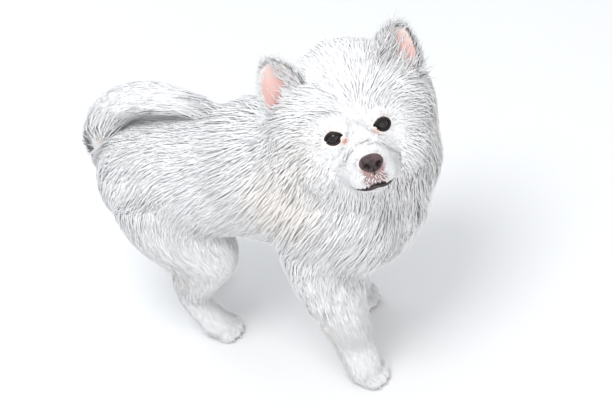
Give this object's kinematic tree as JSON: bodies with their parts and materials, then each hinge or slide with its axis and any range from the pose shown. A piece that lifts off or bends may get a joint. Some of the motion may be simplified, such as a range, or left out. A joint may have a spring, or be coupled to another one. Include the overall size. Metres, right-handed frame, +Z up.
{
  "type": "pomeranian dog model",
  "caption": "Still, life-size display model of a white Pomeranian, standing with its head turned to its right and its tail curled over its back.",
  "frame": {"origin": "middle of the bounding box, on the floor under the paws", "axes": "+X forward along the body, +Y to the dog's left, +Z up"},
  "size_m": [0.3414, 0.176, 0.3261],
  "materials": {
    "coat": "long soft white coat",
    "skin": "bare pink-brown skin of lips and lids",
    "ear_lining": "thin pink skin under sparse white hair",
    "nose_leather": "damp, finely pebbled dark brown",
    "eye": "wet glossy, almost black",
    "claw": "smooth pale horn"
  },
  "bodies": {
    "root": {"head": "coat", "jaw": "coat", "neck": "coat", "torso_chest": "coat", "torso_loin": "coat", "torso_rump": "coat", "tail_root": "coat", "tail_bow": "coat", "tail_tip": "coat", "foreleg_right_upper": "coat", "foreleg_right_lower": "coat", "foreleg_right_paw": "coat", "foreleg_left_upper": "coat", "foreleg_left_lower": "coat", "foreleg_left_paw": "coat", "hindleg_right_upper": "coat", "hindleg_right_lower": "coat", "hindleg_right_paw": "coat", "hindleg_left_upper": "coat", "hindleg_left_lower": "coat", "hindleg_left_paw": "coat", "ear_right": "ear_lining", "ear_left": "ear_lining", "eye_right": "eye", "eye_left": "eye", "nose": "nose_leather"}
  },
  "joints": []
}
